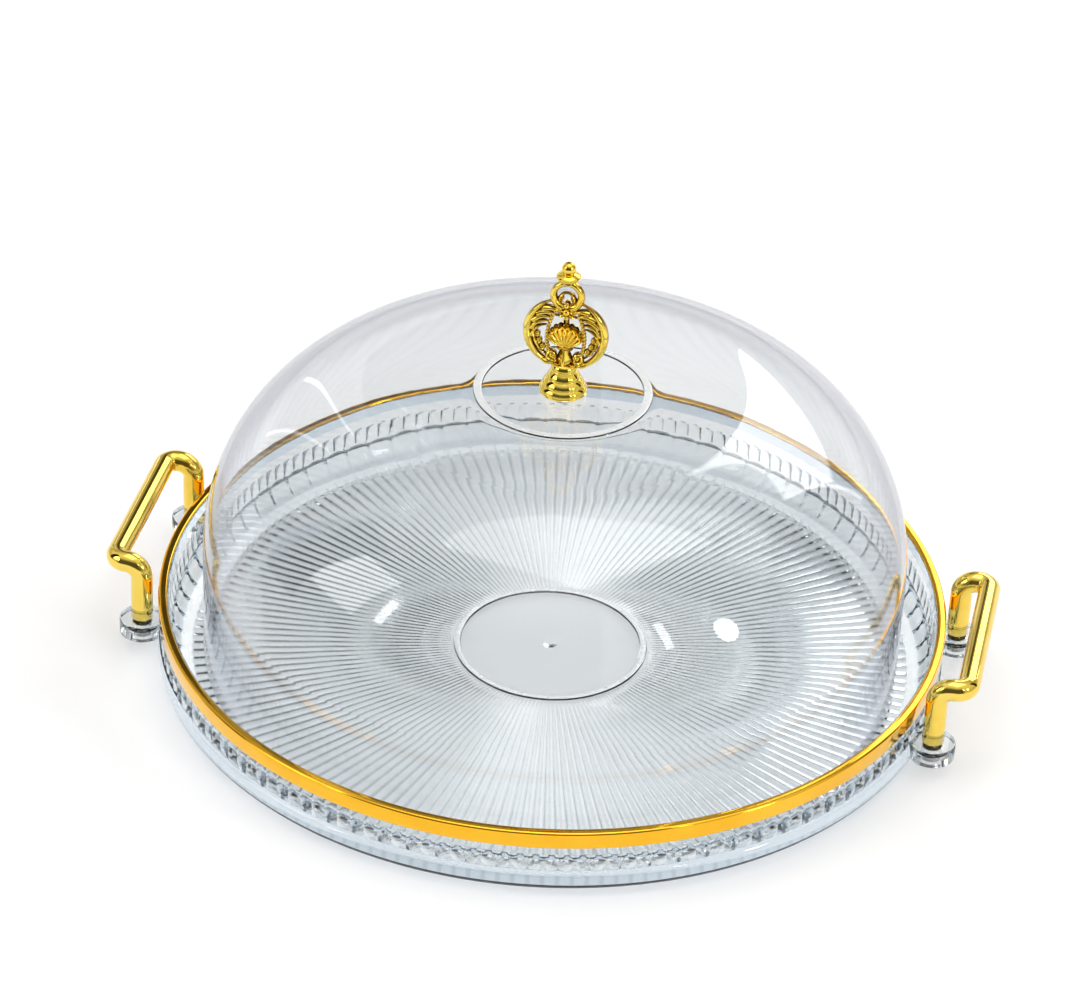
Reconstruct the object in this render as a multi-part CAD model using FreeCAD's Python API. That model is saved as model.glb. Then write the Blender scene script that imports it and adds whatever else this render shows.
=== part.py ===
import FreeCAD, Part
import math
import os

os.makedirs("parts", exist_ok=True)

Vector = FreeCAD.Vector
up = Vector(0, 0, 1)
outward = Vector(0, 1, 0)       # across the finial's plane
same = 1e-4                     # sizes closer than this are the same edge

# Tray sizes; every radius near the edge is set off from the wall, so all of it follows the wall
rib_count = 168                 # radial ribs of the floor, and flutes of the skirt
ribs_per_tile = 2               # floor ribs that run into one cove tile
wall_outer_r = 163.8
wall_t = 3.2
wall_top_z = 29.9
floor_top_z = 3.0
floor_t = 2.0
floor_rib_h = 0.9
floor_edge_r = wall_outer_r - 13.8
centre_disc_r = 39.4
centre_bead_w = 1.8
centre_bead_h = 0.7
rib_start_gap = 1.0
pip_r = 2.2
pip_h = 0.6

# Cove between floor and wall
cove_foot_r = wall_outer_r - 11.2
cove_foot_z = 3.9
cove_mid_r = wall_outer_r - 6.6
cove_mid_z = 8.8
tile_depth = 0.6
tile_edge_r = wall_outer_r - 4.5
tile_edge_z = 14.6
tile_arch_h = 3.6
cove_top_z = 20.0
ledge = 0.2

# Skirt and foot outside
flute_bottom_z = 11.4
flute_full_z = 12.4
flute_fade_z = 18.4
flute_depth = 1.3
flute_proud = 1.1
foot_groove_r = wall_outer_r + 0.4
foot_bulge_r = foot_groove_r + 1.2
foot_bulge_z = 7.0
foot_corner_z = 2.2
foot_corner_r = foot_groove_r - 1.8
foot_outer_r = wall_outer_r - 6.2
foot_inner_r = foot_outer_r - 6.6

# Gold rim band
band_side_t = 1.05
band_w = 3.9
band_h = 7.25
band_top_t = 1.0
band_gap = 0.15
band_edge_round = 0.45

# Lugs and handles
post_x = wall_outer_r + 3.6
post_y = 39.5
lug_r = 9.5
lug_bottom_z = 5.8
lug_top_z = 13.2
lug_edge_round = 0.8
bar_r = 4.6
grip_x = post_x + 11.8
grip_z = 39.9
elbow_bend_r = 6.4
grip_bend_r = 5.2
post_foot_chamfer = 0.5

# Screws, threads left plain
screw_r = 2.0
thread_gap = 0.05
clear_hole_gap = 0.25
head_r = 3.8
head_h = 2.5
head_recess_gap = 0.5
head_recess_depth = 2.9
slot_w = 1.2
slot_depth = 1.1
handle_thread_len = 9.0
thread_end_gap = 1.0

# Dome lid
dome_outer_r = wall_outer_r - 17.5
dome_t = 2.2
dome_top_z = 130.0
dome_shoulder_r = 75.0
dome_crown = 1.5
dome_rim_round = 0.6
dome_bead_r = 1.2
dome_bead_outer_r = 36.0

# Finial
finial_foot_r = 9.9
finial_neck_r = 4.4
finial_foot_h = 13.6
foot_steps = 4
ring_bulge = 0.3
frame_centre_h = 27.0
frame_half_w = 17.8             # outline of the scroll frame
frame_half_h = 16.8
window_half_w = 12.4            # oval opening inside it
window_half_h = 14.2
frame_t = 5.2
frame_edge = 1.2
leaf_count = 5                  # leaf lobes on each upper quarter of the frame
leaf_from = 2.0                 # degrees above the frame's middle
leaf_to = 62.0
leaf_len = 4.6
leaf_w = 2.3
leaf_t = 3.8
leaf_root = 1.0                 # how far a lobe starts inside the frame
leaf_droop = 0.5
volute_r = 3.3                  # rolled ends of the scrolls
volute_t = 5.6
volute_eye_r = 1.5
volute_eye_proud = 0.6
volute_places = ((5.0, -10.6), (11.3, -3.9))
pearl_count = 7                 # pearl string on each side of the shell
pearl_r = 0.85
pearl_proud = 0.7
pearl_arc_r = 7.9
pearl_reach = 52.0              # half the string's sweep, in degrees
pearl_inset = 5.0
string_w = 1.4
string_t = 2.4
shell_r = 8.0
shell_plate_t = 3.0
shell_hub_drop = 0.75
shell_rib_count = 9
shell_rib_h = 1.0
shell_fan = 130.0
stem_r = 2.6
stem_sunk = 1.0
crown_out_r = 7.0
crown_in_r = 3.7
crown_t = 3.4
crown_edge = 0.9
crown_centre_h = 45.2
top_bead_r = 4.7
bead_below = 2.4                # height of the bead under the crown's top
top_ball_r = 2.9
finial_h = 59.8
finial_thread_len = 8.0

# Washer under the finial's screw
washer_r = 6.0
washer_t = 1.2
washer_gap = 0.05

# Places worked out from the sizes
wall_inner_r = wall_outer_r - wall_t
band_inner_r = wall_outer_r + band_gap
band_outer_r = band_inner_r + band_side_t
band_top_z = wall_top_z + band_top_t
band_bottom_z = band_top_z - band_h
rib_start_r = centre_disc_r + centre_bead_w / 2 + rib_start_gap
rib_top_z = floor_top_z + floor_rib_h
steps_per_tile = 2 * ribs_per_tile
step_count = 2 * rib_count
hole_r = screw_r + clear_hole_gap
thread_r = screw_r + thread_gap


def ring(radius, height):
    """Closed polygon round the axis; radius and height are functions of the step number."""
    points = []
    for i in range(step_count):
        angle = 2 * math.pi * i / step_count
        r = radius(i)
        points.append(Vector(r * math.cos(angle), r * math.sin(angle), height(i)))
    return Part.makePolygon(points + points[:1])


def even(value):
    return lambda i: value


def turned(points):
    """Solid of revolution from an outline of (radius, height) points."""
    outline = [Vector(r, 0, z) for r, z in points]
    face = Part.Face(Part.makePolygon(outline + outline[:1]))
    return face.revolve(Vector(0, 0, 0), up, 360)


def circle_edges(shape, radius, z):
    """Full circle edges of one radius at one height."""
    found = []
    for edge in shape.Edges:
        if edge.Degenerated:
            continue
        curve = edge.Curve
        if not isinstance(curve, Part.Circle):
            continue
        if abs(curve.Radius - radius) < same and abs(curve.Center.z - z) < same:
            found.append(edge)
    return found


# Tray: the well inside, with floor ribs, cove tiles and the plain wall above
def tile_wave(i):
    """0 at the edge of a cove tile, 1 in its middle."""
    return math.sin(math.pi * (i % steps_per_tile) / steps_per_tile)


def well_cutter():
    is_rib = lambda i: i % 2
    levels = [
        ring(even(rib_start_r), even(floor_top_z)),
        ring(even(floor_edge_r), lambda i: floor_top_z + floor_rib_h * is_rib(i)),
        ring(even(cove_foot_r), even(cove_foot_z)),
        ring(lambda i: cove_mid_r + tile_depth * tile_wave(i), even(cove_mid_z)),
        ring(lambda i: tile_edge_r + tile_depth * tile_wave(i),
             lambda i: tile_edge_z + tile_arch_h * tile_wave(i)),
        ring(even(wall_inner_r + ledge), even(cove_top_z)),
    ]
    lower = Part.makeLoft(levels, True, True)
    upper = Part.makeCylinder(wall_inner_r, wall_top_z, Vector(0, 0, cove_top_z))
    return lower, upper


def tray_outside():
    is_ridge = lambda i: i % 2
    valley_r = wall_outer_r - ledge + flute_proud - flute_depth
    flute_r = lambda i: valley_r + flute_depth * is_ridge(i)
    skirt = Part.makeLoft([
        ring(even(wall_outer_r - flute_depth), even(flute_bottom_z)),
        ring(flute_r, even(flute_full_z)),
        ring(flute_r, even(flute_fade_z)),
        ring(even(wall_outer_r - ledge), even(cove_top_z)),
    ], True, True)
    wall = Part.makeCylinder(wall_outer_r, wall_top_z - cove_top_z, Vector(0, 0, cove_top_z))
    foot_edges = [
        Part.makeLine(Vector(0, 0, floor_top_z - floor_t), Vector(foot_inner_r, 0, floor_top_z - floor_t)),
        Part.makeLine(Vector(foot_inner_r, 0, floor_top_z - floor_t), Vector(foot_inner_r, 0, 0)),
        Part.makeLine(Vector(foot_inner_r, 0, 0), Vector(foot_outer_r, 0, 0)),
        Part.makeLine(Vector(foot_outer_r, 0, 0), Vector(foot_corner_r, 0, foot_corner_z)),
        Part.Arc(Vector(foot_corner_r, 0, foot_corner_z), Vector(foot_bulge_r, 0, foot_bulge_z),
                 Vector(foot_groove_r, 0, flute_bottom_z)).toShape(),
        Part.makeLine(Vector(foot_groove_r, 0, flute_bottom_z), Vector(0, 0, flute_bottom_z)),
        Part.makeLine(Vector(0, 0, flute_bottom_z), Vector(0, 0, floor_top_z - floor_t)),
    ]
    foot = Part.Face(Part.Wire(foot_edges)).revolve(Vector(0, 0, 0), up, 360)
    return foot.multiFuse([skirt, wall])


def post_places():
    return [(side * post_x, end * post_y) for side in (-1, 1) for end in (-1, 1)]


def lug(x, y):
    body = Part.makeCylinder(lug_r, lug_top_z - lug_bottom_z, Vector(x, y, lug_bottom_z))
    return body.makeFillet(lug_edge_round, body.Edges)


def lug_holes(x, y):
    through = Part.makeCylinder(hole_r, lug_top_z, Vector(x, y, 0))
    recess = Part.makeCylinder(head_r + head_recess_gap, lug_bottom_z + head_recess_depth, Vector(x, y, 0))
    return through.fuse(recess)


def floor_centre():
    """Raised ring round the smooth centre disc, and the pip in its middle."""
    root_z = floor_top_z - floor_t / 2
    half = centre_bead_w / 2
    bead = turned([
        (centre_disc_r - half, root_z), (centre_disc_r + half, root_z), (centre_disc_r + half, floor_top_z),
        (centre_disc_r + half / 2, floor_top_z + centre_bead_h),
        (centre_disc_r - half / 2, floor_top_z + centre_bead_h),
        (centre_disc_r - half, floor_top_z),
    ])
    pip = turned([(0, root_z), (pip_r, root_z), (pip_r, floor_top_z), (pip_r / 2, floor_top_z + pip_h),
                  (0, floor_top_z + pip_h)])
    return [bead, pip]


def tray_body():
    body = tray_outside()
    lower, upper = well_cutter()
    lugs = [lug(x, y) for x, y in post_places()]
    body = body.multiFuse(lugs)
    holes = [lug_holes(x, y) for x, y in post_places()]
    body = body.cut([lower, upper] + holes)
    return body.multiFuse(floor_centre())


# Gold band over the wall's top
def rim_band():
    inner_lip_r = band_outer_r - band_w
    band = turned([
        (inner_lip_r, wall_top_z), (band_inner_r, wall_top_z), (band_inner_r, band_bottom_z),
        (band_outer_r, band_bottom_z), (band_outer_r, band_top_z), (inner_lip_r, band_top_z),
    ])
    outer = circle_edges(band, band_outer_r, band_top_z) + circle_edges(band, band_outer_r, band_bottom_z)
    return band.makeFillet(band_edge_round, outer)


# Handles: one bent bar each, with a threaded hole in each post's foot
def handle(side):
    corner_x = side * grip_x
    foot_x = side * post_x
    bend = elbow_bend_r
    turn = grip_bend_r
    mid = 1 - math.sqrt(0.5)

    def half(end):
        y = end * post_y
        edges = [
            Part.makeLine(Vector(foot_x, y, lug_top_z), Vector(foot_x, y, grip_z - bend)),
            Part.Arc(Vector(foot_x, y, grip_z - bend),
                     Vector(foot_x + side * bend * mid, y, grip_z - bend * mid),
                     Vector(foot_x + side * bend, y, grip_z)).toShape(),
        ]
        if grip_x - turn - post_x - bend > 1e-6:
            edges.append(Part.makeLine(Vector(foot_x + side * bend, y, grip_z),
                                       Vector(corner_x - side * turn, y, grip_z)))
        edges.append(Part.Arc(Vector(corner_x - side * turn, y, grip_z),
                              Vector(corner_x - side * turn * mid, y - end * turn * mid, grip_z),
                              Vector(corner_x, y - end * turn, grip_z)).toShape())
        return edges

    route = half(-1)
    grip_half = post_y - turn
    route.append(Part.makeLine(Vector(corner_x, -grip_half, grip_z), Vector(corner_x, grip_half, grip_z)))
    route += reversed(half(1))
    path = Part.Wire(Part.__sortEdges__(route))
    section = Part.Wire(Part.makeCircle(bar_r, Vector(foot_x, -post_y, lug_top_z), up))
    bar = path.makePipeShell([section], True, False)
    bar = bar.makeChamfer(post_foot_chamfer, circle_edges(bar, bar_r, lug_top_z))
    depth = handle_thread_len + thread_end_gap
    holes = [Part.makeCylinder(thread_r, depth, Vector(foot_x, end * post_y, lug_top_z)) for end in (-1, 1)]
    return bar.cut(holes)


def pan_screw(length):
    """Screw standing on its head: head below z = 0, shank above."""
    shank = Part.makeCylinder(screw_r, length)
    head = Part.makeCylinder(head_r, head_h, Vector(0, 0, -head_h))
    head = head.makeFillet(head_h / 3, circle_edges(head, head_r, -head_h))
    slots = []
    for angle in (0, 90):
        slot = Part.makeBox(2 * head_r, slot_w, slot_depth, Vector(-head_r, -slot_w / 2, -head_h))
        slot.rotate(Vector(0, 0, 0), up, angle)
        slots.append(slot.common(Part.makeCylinder(head_r * 0.62, head_h, Vector(0, 0, -head_h))))
    return shank.fuse(head).cut(slots)


def handle_screw(x, y):
    seat_z = lug_bottom_z + head_recess_depth
    screw = pan_screw(lug_top_z - seat_z + handle_thread_len)
    screw.translate(Vector(x, y, seat_z))
    return screw


# Dome: upright wall, one shoulder arc and a nearly flat crowned top
def dome_arc_radius():
    run = dome_outer_r - dome_shoulder_r
    return (run ** 2 + 2 * dome_shoulder_r * dome_crown + dome_crown ** 2) / (2 * dome_crown)


def dome_outline(inset):
    """Wall line, shoulder arc and crown arc of one face of the dome's wall, from the foot to the hole."""
    shoulder_z = dome_top_z - dome_crown - dome_shoulder_r
    centre_x = dome_outer_r - dome_shoulder_r
    top_centre_z = dome_top_z - dome_arc_radius()
    slope = math.atan2(centre_x, shoulder_z - top_centre_z)
    r_shoulder = dome_shoulder_r - inset
    r_top = dome_arc_radius() - inset
    hole_slope = math.asin(hole_r / r_top)

    def on_shoulder(angle):
        return Vector(centre_x + r_shoulder * math.sin(angle), 0, shoulder_z + r_shoulder * math.cos(angle))

    def on_top(angle):
        return Vector(r_top * math.sin(angle), 0, top_centre_z + r_top * math.cos(angle))

    foot = Vector(dome_outer_r - inset, 0, rib_top_z)
    edges = [
        Part.makeLine(foot, on_shoulder(math.pi / 2)),
        Part.Arc(on_shoulder(math.pi / 2), on_shoulder((math.pi / 2 + slope) / 2),
                 on_shoulder(slope)).toShape(),
        Part.Arc(on_top(slope), on_top((slope + hole_slope) / 2), on_top(hole_slope)).toShape(),
    ]
    return foot, edges, on_top(hole_slope)


def dome_lid():
    outer_foot, outer_edges, outer_hole = dome_outline(0)
    inner_foot, inner_edges, inner_hole = dome_outline(dome_t)
    wall_edges = outer_edges + [Part.makeLine(outer_hole, inner_hole)] + inner_edges
    wall_edges.append(Part.makeLine(inner_foot, outer_foot))
    wall = Part.Face(Part.Wire(Part.__sortEdges__(wall_edges))).revolve(Vector(0, 0, 0), up, 360)
    rim = circle_edges(wall, dome_outer_r, rib_top_z) + circle_edges(wall, dome_outer_r - dome_t, rib_top_z)
    wall = wall.makeFillet(dome_rim_round, rim)
    bead_path_r = dome_bead_outer_r - dome_bead_r
    bead_z = dome_top_z - dome_arc_radius() + math.sqrt(dome_arc_radius() ** 2 - bead_path_r ** 2)
    return wall.fuse(Part.makeTorus(bead_path_r, dome_bead_r, Vector(0, 0, bead_z)))


# Finial: foot, stem, open scroll frame with a shell, crown loop and ball
def stepped_foot():
    """Bell of bevelled rings that narrows from the foot to the neck."""
    step_h = finial_foot_h / foot_steps
    outer = lambda k: finial_foot_r + (finial_neck_r - finial_foot_r) * (k / foot_steps) ** 0.8
    outline = [(0, 0)]
    for k in range(foot_steps):
        waist = outer(k)
        bulge = waist + step_h * ring_bulge
        outline += [(waist, k * step_h), (bulge, (k + 0.2) * step_h), (bulge, (k + 0.52) * step_h),
                    (waist, (k + 0.75) * step_h)]
    outline += [(outer(foot_steps), finial_foot_h), (0, finial_foot_h)]
    return turned(outline)


def shell_medallion():
    """Scallop shell with folded ribs, the same on both faces, on the frame's centre."""
    hub_z = frame_centre_h - shell_r * shell_hub_drop
    count = 2 * shell_rib_count
    rim = []
    for k in range(count + 1):
        fan = math.radians(shell_fan * (k / count - 0.5))
        rim_share = math.sqrt(1 - (shell_hub_drop * math.sin(fan)) ** 2)
        reach = shell_r * (shell_hub_drop * math.cos(fan) + rim_share)
        rise = shell_rib_h * (k % 2)
        rim.append((reach * math.sin(fan), hub_z + reach * math.cos(fan), shell_plate_t / 2 + rise))
    hub_y = shell_plate_t / 2
    faces = []

    def face(*points):
        faces.append(Part.Face(Part.makePolygon(list(points) + [points[0]])))

    for k in range(count):
        x0, z0, y0 = rim[k]
        x1, z1, y1 = rim[k + 1]
        for side in (-1, 1):
            face(Vector(0, side * hub_y, hub_z), Vector(x0, side * y0, z0), Vector(x1, side * y1, z1))
        face(Vector(x0, -y0, z0), Vector(x0, y0, z0), Vector(x1, y1, z1), Vector(x1, -y1, z1))
    for x, z, y in (rim[0], rim[-1]):
        face(Vector(0, -hub_y, hub_z), Vector(0, hub_y, hub_z), Vector(x, y, z), Vector(x, -y, z))
    shell = Part.makeShell(faces)
    shell.sewShape()
    return Part.Solid(shell)


def upright_plate(face_edges, thickness):
    """Plate in the finial's plane, centred on it, from the edges of one closed outline."""
    face = Part.Face(Part.Wire(face_edges))
    plate = face.extrude(Vector(0, thickness, 0))
    plate.translate(Vector(0, -thickness / 2, 0))
    return plate


def oval(half_w, half_h, thickness):
    """Oval plate round the frame's centre."""
    ellipse = Part.Ellipse(Vector(0, 0, 0), max(half_w, half_h), min(half_w, half_h))
    edge = ellipse.toShape()
    if half_h > half_w:
        edge.rotate(Vector(0, 0, 0), up, 90)
    edge.rotate(Vector(0, 0, 0), Vector(1, 0, 0), 90)
    plate = upright_plate([edge], thickness)
    plate.translate(Vector(0, 0, frame_centre_h))
    return plate


def scroll_frame():
    """Two crescents, thick at the sides and thin above and below, with bevelled edges."""
    outer = oval(frame_half_w, frame_half_h, frame_t)
    outer = outer.makeChamfer(frame_edge, outer.Edges)
    return outer.cut(oval(window_half_w, window_half_h, frame_t + 2))


def leaf_lobes(side):
    """Pointed lobes that lean inward from the frame's upper quarter."""
    lobes = []
    for k in range(leaf_count):
        angle = math.radians(leaf_from + (leaf_to - leaf_from) * k / (leaf_count - 1))
        root = Vector(side * (window_half_w + leaf_root) * math.cos(angle), 0,
                      (window_half_h + leaf_root) * math.sin(angle))
        inward = Vector(-side * math.cos(angle), 0, -math.sin(angle) - leaf_droop)
        inward.normalize()
        across = Vector(inward.z, 0, -inward.x) * (leaf_w / 2)
        centre = Vector(0, 0, frame_centre_h)
        tip = root + inward * leaf_len
        points = [centre + root - across, centre + root + across, centre + tip]
        lobes.append(upright_plate(Part.makePolygon(points + points[:1]).Edges, leaf_t))
    return lobes


def upright_drum(radius, thickness, x, z):
    return Part.makeCylinder(radius, thickness, Vector(x, -thickness / 2, z), outward)


def volutes(side):
    """Rolled scroll ends: a drum with a smaller eye that stands proud of both its faces."""
    rolls = []
    for x, drop in volute_places:
        for r, t in ((volute_r, volute_t), (volute_eye_r, volute_t + 2 * volute_eye_proud)):
            rolls.append(upright_drum(r, t, side * x, frame_centre_h + drop))
    return rolls


def pearl_string(side):
    """Curved bar beside the shell with a row of pearls on it."""
    outer = upright_drum(pearl_arc_r + string_w / 2, string_t, 0, frame_centre_h)
    string = outer.cut(upright_drum(pearl_arc_r - string_w / 2, string_t, 0, frame_centre_h))
    half_h = pearl_arc_r * math.sin(math.radians(pearl_reach))
    keep = Part.makeBox(pearl_arc_r, string_t, 2 * half_h)
    keep.translate(Vector((side - 0.5) * pearl_arc_r, -string_t / 2, frame_centre_h - half_h))
    pieces = [string.common(keep)]
    for k in range(pearl_count):
        angle = math.radians((pearl_reach - pearl_inset) * (2 * k / (pearl_count - 1) - 1))
        x = side * pearl_arc_r * math.cos(angle)
        z = frame_centre_h + pearl_arc_r * math.sin(angle)
        pieces.append(upright_drum(pearl_r, string_t + 2 * pearl_proud, x, z))
    return pieces


def crown_ring():
    """Bevelled upright ring above the frame."""
    outer = upright_drum(crown_out_r, crown_t, 0, crown_centre_h)
    outer = outer.makeChamfer(crown_edge, outer.Edges)
    return outer.cut(upright_drum(crown_in_r, crown_t, 0, crown_centre_h))


def top_knob():
    """Flat bead, neck and ball on the crown."""
    bead_h = crown_centre_h + crown_out_r
    ball_h = finial_h - top_ball_r
    bead = turned([(0, bead_h - bead_below), (top_bead_r * 0.62, bead_h - bead_below),
                   (top_bead_r, bead_h - bead_below / 4), (top_bead_r * 0.7, bead_h + bead_below / 2),
                   (0, bead_h + bead_below / 2)])
    ball_neck = Part.makeCylinder(top_ball_r * 0.55, ball_h - bead_h, Vector(0, 0, bead_h))
    return [bead, ball_neck, Part.makeSphere(top_ball_r, Vector(0, 0, ball_h))]


def core():
    """Tapered stem from the foot into the shell, and the neck from the shell to the crown."""
    stem_h = frame_centre_h - finial_foot_h
    stem = Part.makeCone(finial_neck_r, stem_r * 0.6, stem_h, Vector(0, 0, finial_foot_h - stem_sunk))
    neck_bottom = frame_centre_h + shell_r * 0.8
    neck_top = crown_centre_h - (crown_out_r + crown_in_r) / 2
    neck = Part.makeCylinder(stem_r * 0.8, neck_top - neck_bottom, Vector(0, 0, neck_bottom))
    return [stem, neck]


def finial():
    pieces = core() + [shell_medallion(), scroll_frame()]
    for side in (-1, 1):
        pieces += volutes(side) + leaf_lobes(side) + pearl_string(side)
    pieces += [crown_ring()] + top_knob()
    body = stepped_foot()
    for piece in pieces:
        body = body.fuse(piece)
    body = body.cut(Part.makeCylinder(thread_r, finial_thread_len + thread_end_gap))
    body.translate(Vector(0, 0, dome_top_z))
    return body


def finial_screw():
    seat_z = dome_top_z - dome_t - washer_gap - washer_t
    screw = pan_screw(dome_top_z - seat_z + finial_thread_len)
    screw.translate(Vector(0, 0, seat_z))
    return screw


def finial_washer():
    bottom = Vector(0, 0, dome_top_z - dome_t - washer_gap - washer_t)
    return Part.makeCylinder(washer_r, washer_t, bottom).cut(Part.makeCylinder(hole_r, washer_t, bottom))


def write(name, shape):
    """One file for each piece, each one closed solid."""
    solid = shape.Solids[0]
    volume = round(shape.Volume / 1000, 3)
    print(name, "solids", len(shape.Solids), "valid", shape.isValid(), "volume", volume, "cm3")
    solid.exportStep(os.path.join("parts", name + ".step"))


write("tray_body", tray_body())
write("rim_band", rim_band())
for side, side_name in ((-1, "left"), (1, "right")):
    write("handle_" + side_name, handle(side))
    for end, end_name in ((-1, "front"), (1, "back")):
        write("handle_screw_" + side_name + "_" + end_name, handle_screw(side * post_x, end * post_y))
write("dome_lid", dome_lid())
write("finial", finial())
write("finial_screw", finial_screw())
write("finial_washer", finial_washer())
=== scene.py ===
import math
import bpy
import bmesh
from mathutils import Matrix, Vector


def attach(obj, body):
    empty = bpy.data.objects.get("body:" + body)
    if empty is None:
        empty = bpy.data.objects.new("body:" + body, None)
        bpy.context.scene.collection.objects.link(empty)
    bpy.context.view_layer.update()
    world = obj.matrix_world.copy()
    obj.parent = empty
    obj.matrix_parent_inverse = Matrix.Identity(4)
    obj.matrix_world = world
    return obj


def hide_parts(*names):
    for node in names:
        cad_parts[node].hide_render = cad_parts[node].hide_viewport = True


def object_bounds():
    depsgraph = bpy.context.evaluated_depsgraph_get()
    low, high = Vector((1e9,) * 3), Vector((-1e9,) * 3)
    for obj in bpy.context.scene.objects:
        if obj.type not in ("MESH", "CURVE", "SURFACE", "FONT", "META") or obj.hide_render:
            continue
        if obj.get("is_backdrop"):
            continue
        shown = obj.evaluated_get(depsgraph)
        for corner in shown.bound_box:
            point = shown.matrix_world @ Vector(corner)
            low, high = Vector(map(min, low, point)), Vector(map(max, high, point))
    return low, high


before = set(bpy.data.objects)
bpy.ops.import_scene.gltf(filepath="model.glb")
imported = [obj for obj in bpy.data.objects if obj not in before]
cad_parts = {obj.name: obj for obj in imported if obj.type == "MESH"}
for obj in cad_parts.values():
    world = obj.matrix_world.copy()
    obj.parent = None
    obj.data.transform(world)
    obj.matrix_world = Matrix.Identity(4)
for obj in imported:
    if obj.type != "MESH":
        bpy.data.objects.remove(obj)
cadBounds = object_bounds()
scene = bpy.context.scene
mm = 0.001
tau = 2 * math.pi
mergeWithin = 0.002     # millimetres
print("frame loaded")


# Mesh helpers. Shapes are worked in millimetres and scaled once, in addPiece
def bentGrid(bm, across, along, place):
    # a flat grid whose points are moved to place(u, w), both from 0 to 1
    made = bmesh.ops.create_grid(bm, x_segments=across, y_segments=along, size=0.5)["verts"]
    for v in made:
        v.co = place(v.co.x + 0.5, v.co.y + 0.5)
    return made


def lathe(bm, profile, steps, centre=(0, 0, 0)):
    last = len(profile) - 1
    middle = Vector(centre)

    def place(u, w):
        r, z = profile[round(w * last)]
        return middle + Vector((r * math.cos(tau * u), r * math.sin(tau * u), z))

    return bentGrid(bm, steps, last, place)


def arcPoints(cx, cz, r, start, end, count):
    # points of an arc, angles in degrees
    turns = [math.radians(start + (end - start) * k / count) for k in range(count + 1)]
    return [(cx + r * math.cos(t), cz + r * math.sin(t)) for t in turns]


def sweep(bm, path, width, depth, sides, firstSide):
    # oval bar along a path; width lies along firstSide and depth square to it, both functions of 0..1
    last = len(path) - 1
    frames = []
    side = Vector(firstSide).normalized()
    for k, point in enumerate(path):
        tangent = (path[min(k + 1, last)] - path[max(k - 1, 0)]).normalized()
        side = (side - tangent * side.dot(tangent)).normalized()
        frames.append((point, side.copy(), tangent.cross(side)))

    def place(u, w):
        point, along, square = frames[round(w * last)]
        return point + along * width(w) * math.cos(tau * u) + square * depth(w) * math.sin(tau * u)

    return bentGrid(bm, sides, last, place)


def addPiece(bm, name, material, replaced, sharpAngle=38):
    bmesh.ops.remove_doubles(bm, verts=bm.verts, dist=mergeWithin)
    openEdges = [e for e in bm.edges if e.is_boundary]
    if openEdges:
        bmesh.ops.holes_fill(bm, edges=openEdges, sides=0)
    bmesh.ops.recalc_face_normals(bm, faces=bm.faces)
    bmesh.ops.scale(bm, vec=(mm, mm, mm), verts=bm.verts)
    mesh = bpy.data.meshes.new(name)
    bm.to_mesh(mesh)
    bm.free()
    mesh.materials.append(material)
    mesh.shade_smooth()
    mesh.set_sharp_from_angle(angle=math.radians(sharpAngle))
    piece = bpy.data.objects.new(name, mesh)
    scene.collection.objects.link(piece)
    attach(piece, "root")
    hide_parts(replaced)
    print(name, len(mesh.polygons), "faces")
    return piece


def paintFaces(piece, material, test):
    piece.data.materials.append(material)
    for face in piece.data.polygons:
        if test(face.center / mm, face.normal):
            face.material_index = len(piece.data.materials) - 1


# Materials
def addNode(tree, kind, **values):
    made = tree.nodes.new(kind)
    for key, value in values.items():
        if hasattr(made, key):
            setattr(made, key, value)
        else:
            made.inputs[key.replace("_", " ")].default_value = value
    return made


def feed(tree, socket, value):
    # another node's output is linked, a colour or number is set on the socket itself
    if isinstance(value, bpy.types.NodeSocket):
        tree.links.new(value, socket)
    else:
        socket.default_value = (*value, 1) if isinstance(value, tuple) else value


def addMath(tree, operation, *values):
    made = addNode(tree, "ShaderNodeMath", operation=operation)
    for socket, value in zip(made.inputs, values):
        feed(tree, socket, value)
    return made.outputs[0]


def addMix(tree, share, first, second):
    made = addNode(tree, "ShaderNodeMix", data_type="RGBA")
    for place, value in ((0, share), (6, first), (7, second)):
        feed(tree, made.inputs[place], value)
    return made.outputs[2]


def addRange(tree, value, low, high, toLow=0.0, toHigh=1.0, kind="LINEAR"):
    made = addNode(tree, "ShaderNodeMapRange", interpolation_type=kind)
    names = ("Value", "From Min", "From Max", "To Min", "To Max")
    for name, number in zip(names, (value, low, high, toLow, toHigh)):
        feed(tree, made.inputs[name], number)
    return made.outputs["Result"]


def addRamp(tree, value, stops):
    # stops are pairs of a place from 0 to 1 and its colour
    ramp = addNode(tree, "ShaderNodeValToRGB")
    steps = ramp.color_ramp.elements
    for place, colour in stops[1:-1]:
        steps.new(place)
    for step, (place, colour) in zip(steps, stops):
        step.position = place
        step.color = (*colour, 1)
    tree.links.new(value, ramp.inputs["Fac"])
    return ramp.outputs["Color"]


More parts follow.
